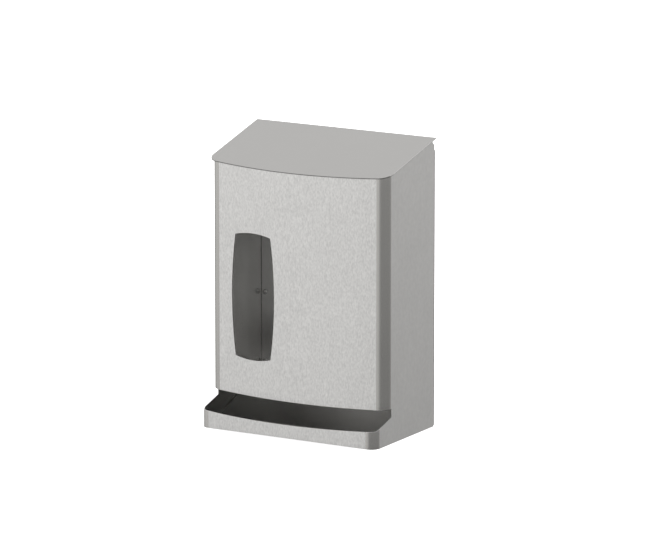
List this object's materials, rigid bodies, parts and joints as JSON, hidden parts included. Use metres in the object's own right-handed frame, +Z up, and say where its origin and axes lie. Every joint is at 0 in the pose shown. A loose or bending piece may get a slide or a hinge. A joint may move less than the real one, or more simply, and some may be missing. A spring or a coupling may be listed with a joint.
{
  "type": "hairnet dispenser",
  "caption": "Wall-hung stainless sheet dispenser for folded hair nets, with a bowed front, a narrow viewing window, an open tray below and a sloping lid hinged at the rear.",
  "frame": {"origin": "centre of the bounding box's base, on the plane of the housing's lower edges", "axes": "+Z up; the front and tray face -Y, the wall is at +Y, +X to the right seen from the front"},
  "size_m": [0.2884, 0.182, 0.4109],
  "materials": {
    "brushed_sheet": "fine brushed grain",
    "lid_sheet": "fine satin",
    "inner_sheet": "smooth mill finish",
    "hinge_steel": "bright"
  },
  "bodies": {
    "housing": {"housing_shell": "brushed_sheet", "tray_lip": "brushed_sheet", "back_panel": "inner_sheet", "tray_floor": "inner_sheet", "hinge_leaf_fixed": "hinge_steel", "hinge_pin": "hinge_steel", "back_rivet_1": "hinge_steel", "back_rivet_2": "hinge_steel", "back_rivet_3": "hinge_steel", "back_rivet_4": "hinge_steel", "back_rivet_5": "hinge_steel", "back_rivet_6": "hinge_steel", "back_rivet_7": "hinge_steel", "back_rivet_8": "hinge_steel", "hinge_rivet_1": "hinge_steel", "hinge_rivet_2": "hinge_steel", "hinge_rivet_3": "hinge_steel", "hinge_rivet_4": "hinge_steel", "hinge_rivet_5": "hinge_steel"},
    "lid": {"lid_panel": "lid_sheet", "hinge_leaf_lid": "hinge_steel"}
  },
  "joints": [
    {"name": "lid_hinge", "type": "hinge", "parent": "housing", "child": "lid", "pos_m": [0, 0.0848, 0.40607], "axis": [-1, 0, 0], "range_deg": [0, 105]}
  ]
}
